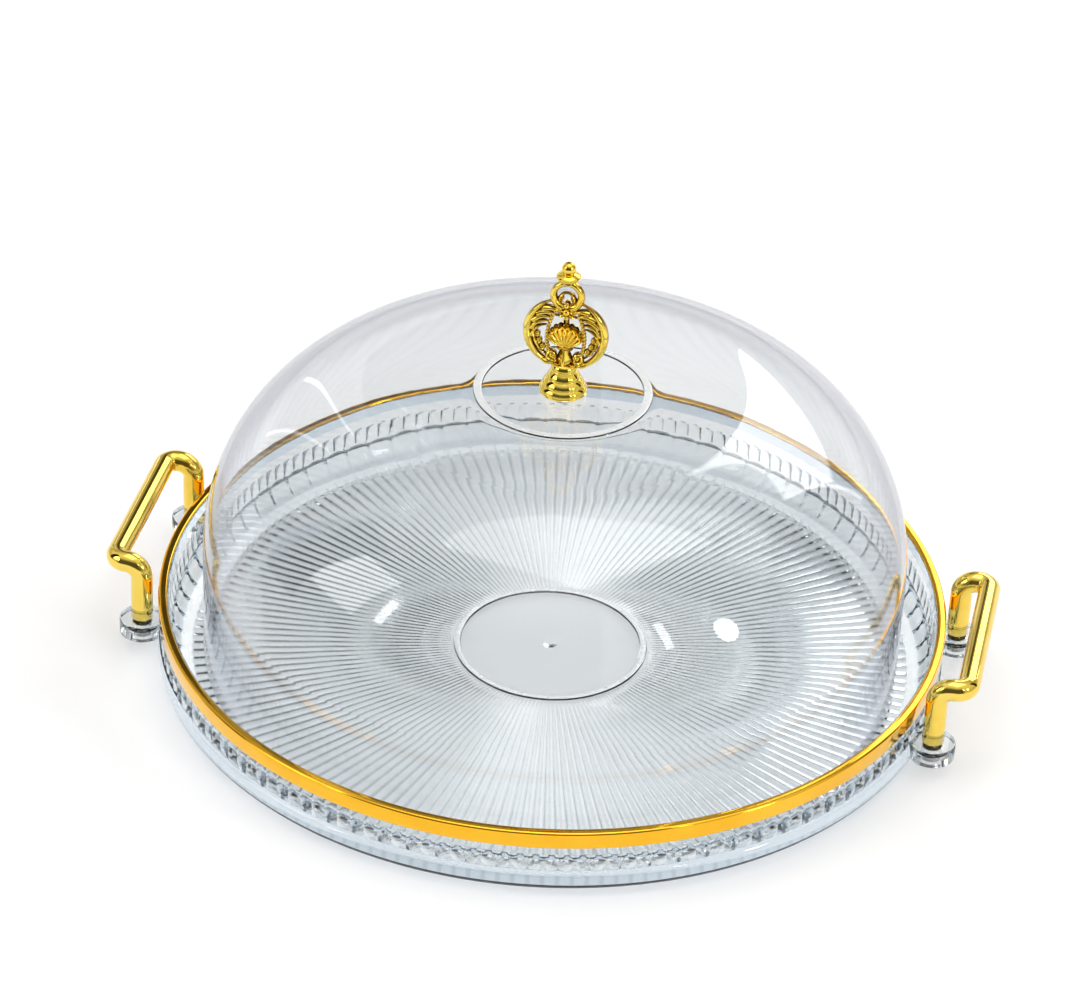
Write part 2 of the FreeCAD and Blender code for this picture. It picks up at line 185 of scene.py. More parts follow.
def makeMottle():
    # cloudy mask for handling marks and a finer height for moulding or plating ripple
    group = bpy.data.node_groups.new("mottle", "ShaderNodeTree")
    for name, value in (("Cloud Scale", 20.0), ("Ripple Scale", 90.0), ("Low", 0.03), ("High", 0.12)):
        socket = group.interface.new_socket(name, in_out="INPUT", socket_type="NodeSocketFloat")
        socket.default_value = value
    for name in ("Cloud", "Roughness", "Ripple"):
        group.interface.new_socket(name, in_out="OUTPUT", socket_type="NodeSocketFloat")
    source = addNode(group, "NodeGroupInput")
    result = addNode(group, "NodeGroupOutput")
    coords = addNode(group, "ShaderNodeTexCoord")
    cloud = addNode(group, "ShaderNodeTexNoise", Detail=5.0, Roughness=0.6)
    ripple = addNode(group, "ShaderNodeTexNoise", Detail=2.0, Roughness=0.45)
    spread = addRange(group, cloud.outputs["Fac"], 0.35, 0.7, source.outputs["Low"], source.outputs["High"])
    link = group.links.new
    link(coords.outputs["Object"], cloud.inputs["Vector"])
    link(coords.outputs["Object"], ripple.inputs["Vector"])
    link(source.outputs["Cloud Scale"], cloud.inputs["Scale"])
    link(source.outputs["Ripple Scale"], ripple.inputs["Scale"])
    link(cloud.outputs["Fac"], result.inputs["Cloud"])
    link(spread, result.inputs["Roughness"])
    link(ripple.outputs["Fac"], result.inputs["Ripple"])
    return group


mottle = makeMottle()


def newMaterial(name):
    made = bpy.data.materials.new(name)
    made.use_nodes = True
    tree = made.node_tree
    return made, tree, tree.nodes["Principled BSDF"], tree.nodes["Material Output"]


def addMarks(tree, shader, scales, rough, lift=0.0, depth=0.0004):
    # handling marks in the roughness, and a ripple in the surface where lift is set
    marks = addNode(tree, "ShaderNodeGroup", node_tree=mottle)
    for name, value in zip(("Cloud Scale", "Ripple Scale", "Low", "High"), (*scales, *rough)):
        marks.inputs[name].default_value = value
    tree.links.new(marks.outputs["Roughness"], shader.inputs["Roughness"])
    if lift:
        bump = addNode(tree, "ShaderNodeBump", Strength=lift, Distance=depth)
        tree.links.new(marks.outputs["Ripple"], bump.inputs["Height"])
        tree.links.new(bump.outputs["Normal"], shader.inputs["Normal"])
    return marks.outputs["Cloud"]


# Gold plating: two mottled tones, ripple, roughness and lacquer; recess is painted shade between the finial's leaves
goldLooks = {
    "goldBand": {"deep": (0.92, 0.45, 0.006), "bright": (1.0, 0.56, 0.025), "lift": 0.05, "rough": 0.05, "coat": 0.4},
    "goldBar": {"deep": (0.88, 0.58, 0.05), "bright": (0.97, 0.72, 0.13), "lift": 0.06, "rough": 0.04, "coat": 0.5},
    "goldCast": {"deep": (0.90, 0.60, 0.045), "bright": (1.0, 0.76, 0.12), "lift": 0.15, "rough": 0.04, "coat": 0.5,
                 "recess": (0.20, 0.085, 0.006), "share": 0.92, "depth": (0.0003, 0.0019),
                 "bottom": (0.1435, 0.1450), "top": (0.1810, 0.1795)},
}


def addRecessShade(tree, colour, look):
    # painted shade near the finial's middle plane, where its leaves crowd, fading out at its foot and under its ball
    coords = addNode(tree, "ShaderNodeTexCoord")
    split = addNode(tree, "ShaderNodeSeparateXYZ")
    tree.links.new(coords.outputs["Object"], split.inputs[0])
    off = addMath(tree, "ABSOLUTE", split.outputs["Y"])
    deep = addRange(tree, off, *look["depth"], look["share"], 0.0, "SMOOTHSTEP")
    above = addRange(tree, split.outputs["Z"], *look["bottom"])
    below = addRange(tree, split.outputs["Z"], *look["top"])
    share = addMath(tree, "MULTIPLY", deep, addMath(tree, "MULTIPLY", above, below))
    return addMix(tree, share, colour, look["recess"])


def makeGold(name):
    look = goldLooks[name]
    made, tree, shader, output = newMaterial(name)
    cloud = addMarks(tree, shader, (38.0, 260.0), (look["rough"], look["rough"] + 0.07), look["lift"])
    colour = addRamp(tree, cloud, ((0.3, look["deep"]), (0.7, look["bright"])))
    # painted shade in the finial's recesses
    if "recess" in look:
        colour = addRecessShade(tree, colour, look)
    tree.links.new(colour, shader.inputs["Base Color"])
    shader.inputs["Metallic"].default_value = 1.0
    shader.inputs["Coat Weight"].default_value = look["coat"]
    shader.inputs["Coat Roughness"].default_value = 0.03
    return made


def makeGlowCore():
    # unplated inner side of the rim band; it glows as painted light, standing in for the lamp light that hardly
    # reaches it behind the clear wall
    made, tree, shader, output = newMaterial("paleGlowCore")
    cloud = addMarks(tree, shader, (60.0, 400.0), (0.3, 0.45))
    colour = addRamp(tree, cloud, ((0, (0.55, 0.60, 0.65)), (1, (0.74, 0.78, 0.82))))
    tree.links.new(colour, shader.inputs["Base Color"])
    # painted light: the core glows in its own colour
    tree.links.new(colour, shader.inputs["Emission Color"])
    shader.inputs["Emission Strength"].default_value = 0.85
    return made


def makeFrostHighlight():
    # ground rings of the lid and the tray's floor, frosted, and whiter than the clear parts as a painted highlight
    # along the rings
    made, tree, shader, output = newMaterial("frostHighlightRing")
    cloud = addMarks(tree, shader, (90.0, 700.0), (0.18, 0.34))
    colour = addRamp(tree, cloud, ((0, (0.90, 0.93, 0.93)), (1, (1.0, 1.0, 1.0))))
    tree.links.new(colour, shader.inputs["Base Color"])
    shader.inputs["Transmission Weight"].default_value = 0.45
    shader.inputs["IOR"].default_value = 1.49
    return made


# Moulded acrylic: plain colour, an edge colour of painted shade at glancing angles, colour for passing lamp light,
# the tint that thick parts take on, and painted shade in the floor's grooves
clearLooks = {
    "clearTray": {"colour": (0.97, 0.97, 0.96), "edge": (0.86, 0.89, 0.92), "glancingShadeStart": 0.7,
                  "shade": (0.985, 0.985, 0.985), "body": (0.58, 0.70, 0.79), "density": 48, "lift": 0.05,
                  "grooves": 168, "grooveShade": (0.66, 0.70, 0.71)},
    "clearDome": {"colour": (0.955, 0.965, 0.965), "edge": (0.20, 0.21, 0.31), "glancingShadeStart": 0.55,
                  "shade": (0.985, 0.985, 0.99), "body": (0.70, 0.71, 0.79), "density": 40, "lift": 0.03},
}
grooveShadeRange = {"sharp": 0.1, "start": (0.041, 0.060), "end": (0.1520, 0.1505)}


def makeGrooveShade(g):
    # painted shade along the floor's radial grooves: a mask from the angle round the axis and the radius
    group = bpy.data.node_groups.new("grooves", "ShaderNodeTree")
    group.interface.new_socket("Count", in_out="INPUT", socket_type="NodeSocketFloat")
    group.interface.new_socket("Groove", in_out="OUTPUT", socket_type="NodeSocketFloat")
    source = addNode(group, "NodeGroupInput")
    result = addNode(group, "NodeGroupOutput")
    coords = addNode(group, "ShaderNodeTexCoord")
    split = addNode(group, "ShaderNodeSeparateXYZ")
    flat = addNode(group, "ShaderNodeVectorMath", operation="MULTIPLY")
    flat.inputs[1].default_value = (1, 1, 0)
    radius = addNode(group, "ShaderNodeVectorMath", operation="LENGTH")
    link = group.links.new
    link(coords.outputs["Object"], split.inputs[0])
    link(coords.outputs["Object"], flat.inputs[0])
    link(flat.outputs[0], radius.inputs[0])
    angle = addMath(group, "ARCTAN2", split.outputs["Y"], split.outputs["X"])
    wave = addMath(group, "COSINE", addMath(group, "MULTIPLY", angle, source.outputs["Count"]))
    line = addRange(group, wave, g["sharp"], 1.0, kind="SMOOTHSTEP")
    start = addRange(group, radius.outputs["Value"], *g["start"])
    end = addRange(group, radius.outputs["Value"], *g["end"])
    link(addMath(group, "MULTIPLY", line, addMath(group, "MULTIPLY", start, end)), result.inputs["Groove"])
    return group


def makeClear(name):
    # lamps pass through with a light tint, so the shadow stays pale; the volume darkens the
    # plastic where light runs a long way inside it, as at a rim or a silhouette
    look = clearLooks[name]
    made, tree, shader, output = newMaterial(name)
    addMarks(tree, shader, (14.0, 55.0), (0.0, 0.03), look["lift"], 0.0006)
    # painted shade at the silhouettes: the colour turns to the edge colour at glancing angles
    glancingShade = addNode(tree, "ShaderNodeLayerWeight")
    colour = addRamp(tree, glancingShade.outputs["Facing"], ((look["glancingShadeStart"], look["colour"]), (0.95, look["edge"])))
    # painted shade along the floor's grooves, mixed into the colour
    if "grooves" in look:
        mask = addNode(tree, "ShaderNodeGroup", node_tree=makeGrooveShade(grooveShadeRange))
        mask.inputs["Count"].default_value = look["grooves"]
        colour = addMix(tree, mask.outputs["Groove"], colour, look["grooveShade"])
    tree.links.new(colour, shader.inputs["Base Color"])
    shader.inputs["Transmission Weight"].default_value = 1.0
    shader.inputs["IOR"].default_value = 1.49
    passing = addNode(tree, "ShaderNodeBsdfTransparent")
    passing.inputs["Color"].default_value = (*look["shade"], 1)
    path = addNode(tree, "ShaderNodeLightPath")
    mix = addNode(tree, "ShaderNodeMixShader")
    tree.links.new(path.outputs["Is Shadow Ray"], mix.inputs[0])
    tree.links.new(shader.outputs["BSDF"], mix.inputs[1])
    tree.links.new(passing.outputs["BSDF"], mix.inputs[2])
    tree.links.new(mix.outputs["Shader"], output.inputs["Surface"])
    inside = addNode(tree, "ShaderNodeVolumeAbsorption", Density=look["density"])
    inside.inputs["Color"].default_value = (*look["body"], 1)
    tree.links.new(inside.outputs["Volume"], output.inputs["Volume"])
    return made


def makeSteel():
    made, tree, shader, output = newMaterial("zincSteel")
    cloud = addMarks(tree, shader, (120.0, 900.0), (0.22, 0.42), 0.15, 0.0002)
    colour = addRamp(tree, cloud, ((0, (0.42, 0.43, 0.45)), (1, (0.68, 0.68, 0.69))))
    tree.links.new(colour, shader.inputs["Base Color"])
    shader.inputs["Metallic"].default_value = 1.0
    return made


goldBand, goldBar, goldCast = (makeGold(name) for name in goldLooks)
paleGlowCore = makeGlowCore()
frostHighlightRing = makeFrostHighlight()
clearTray, clearDome = (makeClear(name) for name in clearLooks)
zincSteel = makeSteel()
print("materials made")

# Tray: one closed profile bent round the axis; ribs, tiles and flutes are waves round it
tray = {
    "ribs": 168, "perTile": 2, "stepsPerRib": 8, "ribH": 0.80, "ribLow": 0.33, "ribPower": 0.85, "ribStart": 41.5,
    "floorEdge": 150.4, "floorZ": 3.0, "underZ": 1.0, "tileDepth": 1.5, "tileCorner": 3.4, "tileEdge": 0.45,
    "tilePower": 0.8, "flute": 1.0, "flutePower": 0.7, "wallIn": 160.6, "wallOut": 163.8, "topZ": 29.87,
    "frostIn": 38.3, "frostOut": 40.5, "frostZ": 3.5,
}


def trayLevels(t):
    # (radius, height, rib height, place 0 to 1 up the tile or -1, flute depth)
    floor = t["floorZ"]
    plain = [(0, 4.0), (1.3, 3.95), (2.3, 3.6), (3.0, floor), (37.9, floor), (38.1, 3.35), (38.5, 3.6), (40.3, 3.6),
             (40.7, 3.35), (40.9, floor), (t["ribStart"], floor)]
    levels = [(r, z, 0, -1, 0) for r, z in plain]
    for r in (42.2, 46, 56, 72, 94, 116, 134, 144, t["floorEdge"]):
        share = (r - t["ribStart"]) / (t["floorEdge"] - t["ribStart"])
        levels.append((r, floor, t["ribH"] * (t["ribLow"] + (1 - t["ribLow"]) * share), -1, 0))
    levels += [(151.2, 3.25, 0.35, -1, 0), (151.7, 3.75, 0, -1, 0), (152.3, 4.0, 0, -1, 0), (152.8, 3.85, 0, -1, 0)]
    cove = [(153.0, 4.0), (153.4, 4.25), (154.0, 4.7), (154.7, 5.35), (155.4, 6.2), (156.1, 7.2), (156.7, 8.3),
            (157.3, 9.4), (157.8, 10.5), (158.3, 11.6), (158.7, 12.7), (159.0, 13.6), (159.3, 14.3)]
    levels += [(r, z, 0, k / (len(cove) - 1), 0) for k, (r, z) in enumerate(cove)]
    wall = [(159.9, 16.2), (160.4, 18.2), (t["wallIn"], 20.0), (t["wallIn"], t["topZ"]), (t["wallOut"], t["topZ"]),
            (t["wallOut"], 20.2)]
    levels += [(r, z, 0, -1, 0) for r, z in wall]
    levels += [(163.5, 19.6, 0, -1, 0.2), (163.4, 18.4, 0, -1, t["flute"]), (163.4, 12.6, 0, -1, t["flute"]),
               (163.2, 11.9, 0, -1, 0.7), (163.2, 11.45, 0, -1, 0)]
    foot = [(163.7, 11.2), (164.5, 10.5), (165.1, 9.4), (165.35, 8.0), (165.35, 6.2), (164.95, 4.9), (164.2, 3.7),
            (163.3, 2.8), (162.4, 2.2), (160.2, 1.1), (158.2, 0.25), (157.6, 0.0), (151.0, 0.0),
            (151.0, t["underZ"]), (90, t["underZ"]), (0, t["underZ"])]
    return levels + [(r, z, 0, -1, 0) for r, z in foot]


def buildTray(t):
    bm = bmesh.new()
    levels = trayLevels(t)
    last = len(levels) - 1

    def place(u, w):
        r, z, rib, tileUp, flute = levels[round(w * last)]
        phase = (u * t["ribs"]) % 1.0
        reed = abs(math.sin(math.pi * phase))
        z += rib * reed ** t["ribPower"]
        r += flute * reed ** t["flutePower"]
        if tileUp >= 0:
            tile = (u * t["ribs"] / t["perTile"]) % 1.0
            corner = abs(2 * tile - 1) ** t["tileCorner"] + abs(2 * tileUp - 1) ** t["tileCorner"]
            r += t["tileDepth"] * min(1.0, max(0.0, (1 - corner) / t["tileEdge"])) ** t["tilePower"]
        return Vector((r * math.cos(tau * u), r * math.sin(tau * u), z))

    bentGrid(bm, t["ribs"] * t["stepsPerRib"], last, place)
    return bm


# Clear lugs under the handle posts, with a screw hole and its recess from below
lug = {"r": 9.5, "bottom": 5.8, "top": 13.19, "edge": 0.8, "hole": 2.25, "recess": 4.3, "recessTop": 8.7,
       "x": 167.4, "y": 39.5}


def addLugs(bm, g):
    r, e = g["r"], g["edge"]
    profile = [(g["hole"], g["top"])]
    profile += arcPoints(r - e, g["top"] - e, e, 90, 0, 6)
    profile += arcPoints(r - e, g["bottom"] + e, e, 0, -90, 6)
    profile += [(g["recess"], g["bottom"]), (g["recess"], g["recessTop"]), (g["hole"], g["recessTop"]),
                (g["hole"], g["top"])]
    for x in (-g["x"], g["x"]):
        for y in (-g["y"], g["y"]):
            lathe(bm, profile, 64, (x, y, 0))


trayMesh = buildTray(tray)
addLugs(trayMesh, lug)
trayPiece = addPiece(trayMesh, "clearTrayBody", clearTray, "tray_body")
# frosted ring on the floor, whitened as a painted highlight
paintFaces(trayPiece, frostHighlightRing,
           lambda c, n: tray["frostIn"] < math.hypot(c.x, c.y) < tray["frostOut"] and c.z > tray["frostZ"])

# Gold band over the tray's edge
band = {"out": 165.0, "in": 161.1, "wall": 163.95, "top": 30.9, "under": 29.9, "bottom": 23.65,
        "lowRound": 0.5, "topRound": 1.0, "lip": 0.9, "coreFrom": 162}


def buildBand(b):
    bm = bmesh.new()
    profile = [(b["in"], b["under"]), (b["wall"], b["under"]), (b["wall"], b["bottom"])]
    profile += arcPoints(b["out"] - b["lowRound"], b["bottom"] + b["lowRound"], b["lowRound"], -90, 0, 6)
    profile += arcPoints(b["out"] - b["topRound"], b["top"] - b["topRound"], b["topRound"], 0, 90, 8)
    profile += arcPoints(b["in"] + b["lip"], b["top"] - b["lip"], b["lip"], 90, 180, 5)
    lathe(bm, profile + profile[:1], 360)
    return bm


bandPiece = addPiece(buildBand(band), "goldRimBand", goldBand, "rim_band", 50)
facesInward = lambda c, n: n.x * c.x + n.y * c.y < -10
# the band's inward faces take the glowing core, painted light
paintFaces(bandPiece, paleGlowCore, lambda c, n: band["coreFrom"] < math.hypot(c.x, c.y) and facesInward(c, n))

# Handles: a post, an elbow outward, the grip, and back down
bar = {"r": 4.6, "x": 167.4, "y": 39.5, "foot": 13.2, "gripX": 179.19, "gripZ": 39.9, "elbow": 6.4, "turn": 5.2,
       "chamfer": 0.5}


def handlePath(h, side):
    def corner(centre, fromArm, toArm, radius):
        turns = [math.pi / 2 * k / 12 for k in range(13)]
        return [centre + fromArm * radius * math.cos(t) + toArm * radius * math.sin(t) for t in turns]

    out = Vector((side, 0, 0))
    up = Vector((0, 0, 1))

    def half(end):
        along = Vector((0, end, 0))
        foot = Vector((side * h["x"], end * h["y"], h["foot"]))
        points = [foot, foot + up * h["chamfer"], foot + up * 8, foot + up * 14]
        elbow = foot + up * (h["gripZ"] - h["foot"] - h["elbow"]) + out * h["elbow"]
        points += corner(elbow, -out, up, h["elbow"])
        turn = Vector((side * (h["gripX"] - h["turn"]), end * (h["y"] - h["turn"]), h["gripZ"]))
        return points + corner(turn, along, out, h["turn"])

    middle = [Vector((side * h["gripX"], y, h["gripZ"])) for y in (-22, -8, 8, 22)]
    return half(-1) + middle + half(1)[::-1]


def buildHandle(h, side):
    bm = bmesh.new()
    path = handlePath(h, side)
    cut = 0.5 / (len(path) - 1)
    thick = lambda w: h["r"] - (h["chamfer"] if w < cut or w > 1 - cut else 0)
    sweep(bm, path, thick, thick, 40, (0, 1, 0))
    return bm


for side, sideName in ((-1, "left"), (1, "right")):
    addPiece(buildHandle(bar, side), "goldHandle_" + sideName, goldBar, "handle_" + sideName, 50)

# Dome lid: upright wall, shoulder arc, crowned top with a raised ring round the finial
dome = {"r": 146.3, "t": 2.2, "top": 130.0, "shoulder": 75.0, "crown": 1.5, "foot": 3.9, "hole": 2.25,
        "ringHalf": 1.9, "ringH": 0.65, "ringR": 34.8, "ringPower": 7, "ringGap": 0.4, "frostHalf": 1.5,
        "frostZ": 129.4}


def domeLine(d, inset):
    # points from the hole down to the wall's foot
    run = d["r"] - d["shoulder"]
    big = (run ** 2 + 2 * d["shoulder"] * d["crown"] + d["crown"] ** 2) / (2 * d["crown"])
    topCentre = d["top"] - big
    shoulderZ = d["top"] - d["crown"] - d["shoulder"]
    slope = math.atan2(run, shoulderZ - topCentre)
    line = []
    for k in range(25):
        angle = math.asin(d["hole"] / (big - inset)) * (1 - k / 24) + slope * k / 24
        line.append(((big - inset) * math.sin(angle), topCentre + (big - inset) * math.cos(angle)))
    for k in range(1, 41):
        angle = slope + (math.pi / 2 - slope) * k / 40
        r = d["shoulder"] - inset
        line.append((run + r * math.sin(angle), shoulderZ + r * math.cos(angle)))
    line += [(d["r"] - inset, z) for z in (40, 25, 12)]
    return line


def buildDome(d):
    bm = bmesh.new()
    outer = domeLine(d, 0)
    ringAt = [z for r, z in outer if r < d["ringR"]][-1]
    shares = [-1, -0.96, -0.9, -0.82, -0.7, -0.5, 0, 0.5, 0.7, 0.82, 0.9, 0.96, 1]
    ring = [(d["ringR"] + d["ringHalf"] * q, ringAt + d["ringH"] * (1 - abs(q) ** d["ringPower"])) for q in shares]
    clear = d["ringHalf"] + d["ringGap"]
    before = [p for p in outer if p[0] < d["ringR"] - clear]
    after = [p for p in outer if p[0] > d["ringR"] + clear]
    inner = domeLine(d, d["t"])[::-1]
    half = d["t"] / 2
    rim = arcPoints(d["r"] - half, d["foot"] + half, half, 0, -180, 10)
    profile = before + ring + after + rim + inner
    lathe(bm, profile + profile[:1], 320)
    return bm


domePiece = addPiece(buildDome(dome), "clearDomeLid", clearDome, "dome_lid")
onRing = lambda c: abs(math.hypot(c.x, c.y) - dome["ringR"]) < dome["frostHalf"] and c.z > dome["frostZ"]
# frosted ring round the finial, whitened as a painted highlight
paintFaces(domePiece, frostHighlightRing, lambda c, n: onRing(c) and n.z > 0)

# Finial: bell foot, leaf stem, scroll frame with a scallop shell, crown and ball
finialSize = {
    "foot": 9.9, "ringProud": 0.5, "centre": 27.0, "frame": 15.6, "shellHub": 20.8, "shellR": 10.9, "shellRibs": 9,
    "shellFan": 62, "crownR": 5.7, "crownZ": 44.7, "hoopR": 3.1, "hoopZ": 42.9, "topZ": 59.78,
    "fingers": ((62, 1.25), (47, 1.35), (32, 1.35), (17, 1.25), (3, 1.1)),      # place in degrees, thickness
    "fingerRoot": 14.4, "fingerBend": 12.9, "fingerTip": 8.6,
    "lobes": ((-7, 1.75), (-22, 1.85), (-37, 1.8)), "lobeR": 11.9,              # place in degrees, curl
    "beads": ((37.6, 1.6), (40.6, 1.25), (34.9, 1.0)),                          # height, radius
}


def sidePath(points, s):
    # points of the finial's plane, on side s
    return [Vector((s * x, 0, z)) for x, z in points]


def spiral(cx, cz, outer, inner, start, turns, count=30):
    # curl that winds in; angles in degrees
    points = []
    for k in range(count + 1):
        share = k / count
        r = outer + (inner - outer) * share ** 0.8
        angle = math.radians(start + 360 * turns * share)
        points.append((cx + r * math.cos(angle), cz + r * math.sin(angle)))
    return points


def taper(thick, thinEnd=0.12, power=0.6):
    return lambda w: thick * max(thinEnd, math.sin(math.pi * w) ** power)


def tipTaper(thick, tip=0.1):
    return lambda w: thick * (1 - (1 - tip) * w ** 1.4)


def addBall(bm, x, y, z, r):
    turns = [math.pi * k / 10 for k in range(11)]
    lathe(bm, [(r * math.sin(t), -r * math.cos(t)) for t in turns], 20, (x, y, z))


def curve(start, control, end, count=12):
    # points of a quadratic curve
    points = []
    for k in range(count + 1):
        t = k / count
        points.append(tuple(start[i] * (1 - t) ** 2 + 2 * control[i] * t * (1 - t) + end[i] * t * t for i in (0, 1)))
    return points


def addFoot(bm, f):
    # bell with four soft rings
    profile = [(0, 0), (f["foot"] - 0.6, 0), (f["foot"] - 0.1, 0.3)]
    for k in range(61):
        share = k / 60
        bell = 4.7 + (f["foot"] - 5.2) * (0.5 + 0.5 * math.cos(math.pi * share ** 0.9))
        profile.append((bell + f["ringProud"] * abs(math.sin(4 * math.pi * share)) ** 0.8, 0.6 + 11.9 * share))
    profile += [(5.0, 12.8), (5.0, 13.4), (4.4, 13.8), (0, 13.9)]
    lathe(bm, profile, 72)


def addStem(bm):
    # four-edged leaf bud that rises into the frame, with a midrib on each face
    profile = [(0, 13.0), (4.0, 13.3), (3.6, 15.2), (2.7, 17.6), (1.6, 20.0), (1.2, 22), (1.2, 36), (1.5, 40),
               (0, 40.5)]
    lathe(bm, profile, 4)
    for s in (-1, 1):
        rib = [Vector((0, s * y, z)) for y, z in ((4.2, 13.4), (3.9, 15.4), (3.1, 17.9), (2.1, 20.3), (1.6, 22.3))]
        sweep(bm, rib, tipTaper(0.8), tipTaper(0.7), 12, (1, 0, 0))


def addShell(bm, f):
    fan = math.radians(f["shellFan"])

    def place(front):
        def point(u, w):
            turn = fan * (2 * u - 1)
            crest = abs(math.sin(math.pi * f["shellRibs"] * u))
            reach = f["shellR"] * (0.58 + 0.42 * math.cos(turn)) * (0.94 + 0.06 * crest)
            r = 0.6 + (reach - 0.6) * w
            lift = 1.5 + 1.5 * math.sin(math.pi * min(1.0, w * 0.8 + 0.12)) + 1.6 * (crest ** 0.8) * w
            if w > 0.999:
                lift = 0.8
            return Vector((r * math.sin(turn), front * lift, f["shellHub"] + r * math.cos(turn)))
        return point

    for front in (-1, 1):
        bentGrid(bm, f["shellRibs"] * 8, 12, place(front))
    roll = [Vector((x, 0, f["shellHub"] - 0.4)) for x in (-3.2, -1.6, 0, 1.6, 3.2)]
    sweep(bm, roll, taper(1.15, 0.5), taper(2.9, 0.7), 16, (0, 0, 1))


def addCurl(bm, s, x, z, r, thick, start, turns):
    # rolled leaf end with a round eye on both faces
    line = spiral(x, z, r, r * 0.22, start, turns, 22)
    sweep(bm, sidePath(line, s), tipTaper(thick, 0.55), tipTaper(thick * 2.1, 0.75), 12, (1, 0, 0))
    for face in (-1, 1):
        addBall(bm, s * x, face * thick, z, r * 0.42)


def addHalfFrame(bm, f, s):
    # s is the side; every bar lies in the frame's plane and bulges to both faces
    c = f["centre"]
    across = (1, 0, 0)
    outer = arcPoints(0, c, f["frame"] + 0.3, -80, 66, 48)
    inner = arcPoints(0, c, f["frame"] - 2.4, -66, 58, 40)
    sweep(bm, sidePath(outer, s), taper(1.75, 0.3), taper(2.6, 0.35), 20, across)
    sweep(bm, sidePath(inner, s), taper(0.65, 0.3), taper(2.0, 0.3), 12, across)
    # acanthus fingers that lean from the crescent to the bow
    for angle, thick in f["fingers"]:
        points = []
        for r, ahead in ((f["fingerRoot"], -13), (f["fingerBend"], 8), (f["fingerTip"], 17)):
            turn = math.radians(angle + ahead)
            points.append((r * math.cos(turn), c + r * math.sin(turn)))
        finger = sidePath(curve(*points), s)
        sweep(bm, finger, tipTaper(thick, 0.25), tipTaper(thick * 1.8, 0.4), 14, across)
    # curled lobes down the inner side, the large volute at the bottom and its eye
    for angle, r in f["lobes"]:
        turn = math.radians(angle)
        addCurl(bm, s, f["lobeR"] * math.cos(turn), c + f["lobeR"] * math.sin(turn), r, 0.75, 60 + angle, -1.2)
    addCurl(bm, s, 5.2, 16.3, 2.7, 1.0, -110, 1.3)
    addCurl(bm, s, 9.3, 36.4, 1.6, 0.65, 200, -1.1)
    bow = curve((4.0, 13.9), (7.6, 11.6), (10.6, 15.6))
    sweep(bm, sidePath(bow, s), taper(1.3, 0.5), taper(2.4, 0.5), 14, across)
    strut = ((6.9, 18.2), (9.1, 26.6), (5.2, 35.6))
    sweep(bm, sidePath(curve(*strut, 16), s), lambda w: 0.5, lambda w: 0.9, 10, across)
    for x, z in curve(*strut, 11):
        for face in (-1, 1):
            addBall(bm, s * x, face * 0.9, z, 0.82)


def addCrown(bm, f):
    across = (1, 0, 0)
    ring = arcPoints(0, f["crownZ"], f["crownR"], -72, 92, 28)
    hoop = arcPoints(0, f["hoopZ"], f["hoopR"], -50, 96, 18)
    leaves = (((0.2, 38.2), (2.4, 40.6), (4.6, 40.0), 0.95), ((0.2, 37.6), (2.8, 37.0), (4.8, 38.6), 0.95),
              ((0.2, 37.0), (2.0, 34.6), (3.8, 35.4), 0.85))
    for s in (-1, 1):
        sweep(bm, sidePath(ring, s), lambda w: 1.75 - 0.5 * w, lambda w: 2.5 - 0.8 * w, 16, across)
        sweep(bm, sidePath(hoop, s), taper(0.75, 0.5), taper(1.9, 0.6), 12, across)
        addCurl(bm, s, 2.3, 43.4, 1.5, 0.6, -100, 1.1)
        for start, control, end, thick in leaves:
            leaf = sidePath(curve(start, control, end), s)
            sweep(bm, leaf, taper(thick, 0.3), taper(thick * 2.3, 0.4), 12, across)
    for z, r in f["beads"]:
        for face in (-1, 1):
            addBall(bm, 0, face * 1.5, z, r)
    profile = [(0, 50.2), (2.3, 50.5), (2.9, 51.5), (4.2, 52.2), (4.9, 53.0), (4.95, 53.8), (4.3, 54.5), (2.7, 54.8),
               (2.2, 55.1)]
    profile += arcPoints(0, 57.0, 3.0, -38, 62, 10)
    profile += [(0.8, 59.75), (0, f["topZ"])]
    lathe(bm, profile, 40)


def buildFinial(f):
    bm = bmesh.new()
    addFoot(bm, f)
    addStem(bm)
    addShell(bm, f)
    for s in (-1, 1):
        addHalfFrame(bm, f, s)
    addCrown(bm, f)
    bmesh.ops.translate(bm, vec=(0, 0, dome["top"]), verts=bm.verts)
    return bm


addPiece(buildFinial(finialSize), "ornateFinial", goldCast, "finial", 45)

# Screws and washer keep their CAD shapes
for name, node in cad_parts.items():
    if "screw" in name:
        node.data.materials.clear()
        node.data.materials.append(zincSteel)
    if name == "finial_washer":
        node.data.materials.clear()
        node.data.materials.append(clearDome)


# Stage: white floor, studio surroundings and soft lamps
stage = {
    "floorShade": 0.86, "floorGlow": 0.20,
    "cards": {      # width, height, place, aim, shade; they darken the reflections
        "darkCardLeft": (0.5, 1.6, (-1.5, -0.2, 0.85), (0, 0, 0.1), 0.03),
        "darkCardRight": (0.35, 1.4, (1.5, 0.6, 0.75), (0, 0, 0.1), 0.03),
        "brownCardBack": (0.42, 0.34, (-0.40, 1.27, 0.90), (0, 0, 0), 0.10),
    },
}


def makeMatt(name, shade, rough=1.0):
    made, tree, shader, output = newMaterial(name)
    shader.inputs["Base Color"].default_value = (shade, shade, shade, 1)
    shader.inputs["Roughness"].default_value = rough
    shader.inputs["Specular IOR Level"].default_value = 0.0
    return made, tree, shader, output


